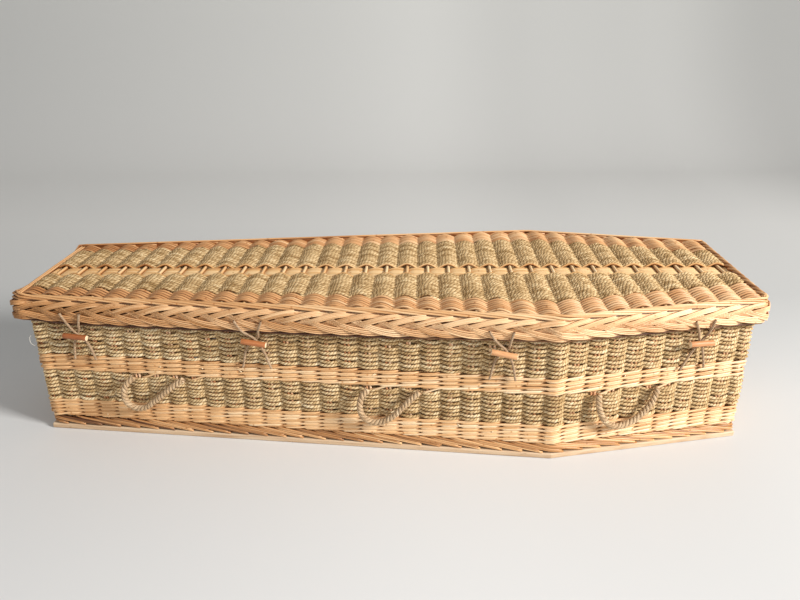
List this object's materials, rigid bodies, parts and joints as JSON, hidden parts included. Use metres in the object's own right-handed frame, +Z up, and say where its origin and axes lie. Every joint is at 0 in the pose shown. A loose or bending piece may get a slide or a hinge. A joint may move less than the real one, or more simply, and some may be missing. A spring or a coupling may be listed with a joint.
{
  "type": "seagrass coffin",
  "caption": "Woven coffin of seagrass cord and willow on a wooden base board, with a loose plaited lid held by wooden toggles, and rope handles along its sides.",
  "frame": {"origin": "on the floor under the middle of the coffin's length and width", "axes": "+X from the foot towards the head, -Y the front long side in the picture, +Z up"},
  "size_m": [1.946, 0.6798, 0.4255],
  "materials": {
    "willow": "steamed willow rods, smooth bark with a soft sheen",
    "seagrass": "two-ply twisted seagrass cord, dry and fibrous",
    "board": "plain softwood board, unfinished",
    "peg": "turned hardwood peg, lightly polished",
    "twine": "twisted jute twine",
    "rope": "twisted natural rope"
  },
  "bodies": {
    "root": {"base_board": "board", "foot_border": "willow", "foot_willow_band": "willow", "lower_seagrass_panel": "seagrass", "middle_willow_band": "willow", "upper_seagrass_panel": "seagrass", "top_rim": "willow", "lid_plait": "willow", "lid_edge_rods": "willow", "lid_near_willow_band": "willow", "lid_far_willow_band": "willow", "lid_near_seagrass_panel": "seagrass", "lid_far_seagrass_panel": "seagrass", "lid_centre_strip": "willow", "front_toggle_1_peg": "peg", "front_toggle_1_twine_falling": "twine", "front_toggle_1_twine_rising": "twine", "front_toggle_2_peg": "peg", "front_toggle_2_twine_falling": "twine", "front_toggle_2_twine_rising": "twine", "front_toggle_3_peg": "peg", "front_toggle_3_twine_falling": "twine", "front_toggle_3_twine_rising": "twine", "front_toggle_4_peg": "peg", "front_toggle_4_twine_falling": "twine", "front_toggle_4_twine_rising": "twine", "front_rope_handle_1": "rope", "front_rope_handle_2": "rope", "front_rope_handle_3": "rope", "back_toggle_1_peg": "peg", "back_toggle_1_twine_falling": "twine", "back_toggle_1_twine_rising": "twine", "back_toggle_2_peg": "peg", "back_toggle_2_twine_falling": "twine", "back_toggle_2_twine_rising": "twine", "back_toggle_3_peg": "peg", "back_toggle_3_twine_falling": "twine", "back_toggle_3_twine_rising": "twine", "back_toggle_4_peg": "peg", "back_toggle_4_twine_falling": "twine", "back_toggle_4_twine_rising": "twine", "back_rope_handle_1": "rope", "back_rope_handle_2": "rope", "back_rope_handle_3": "rope"}
  },
  "joints": []
}
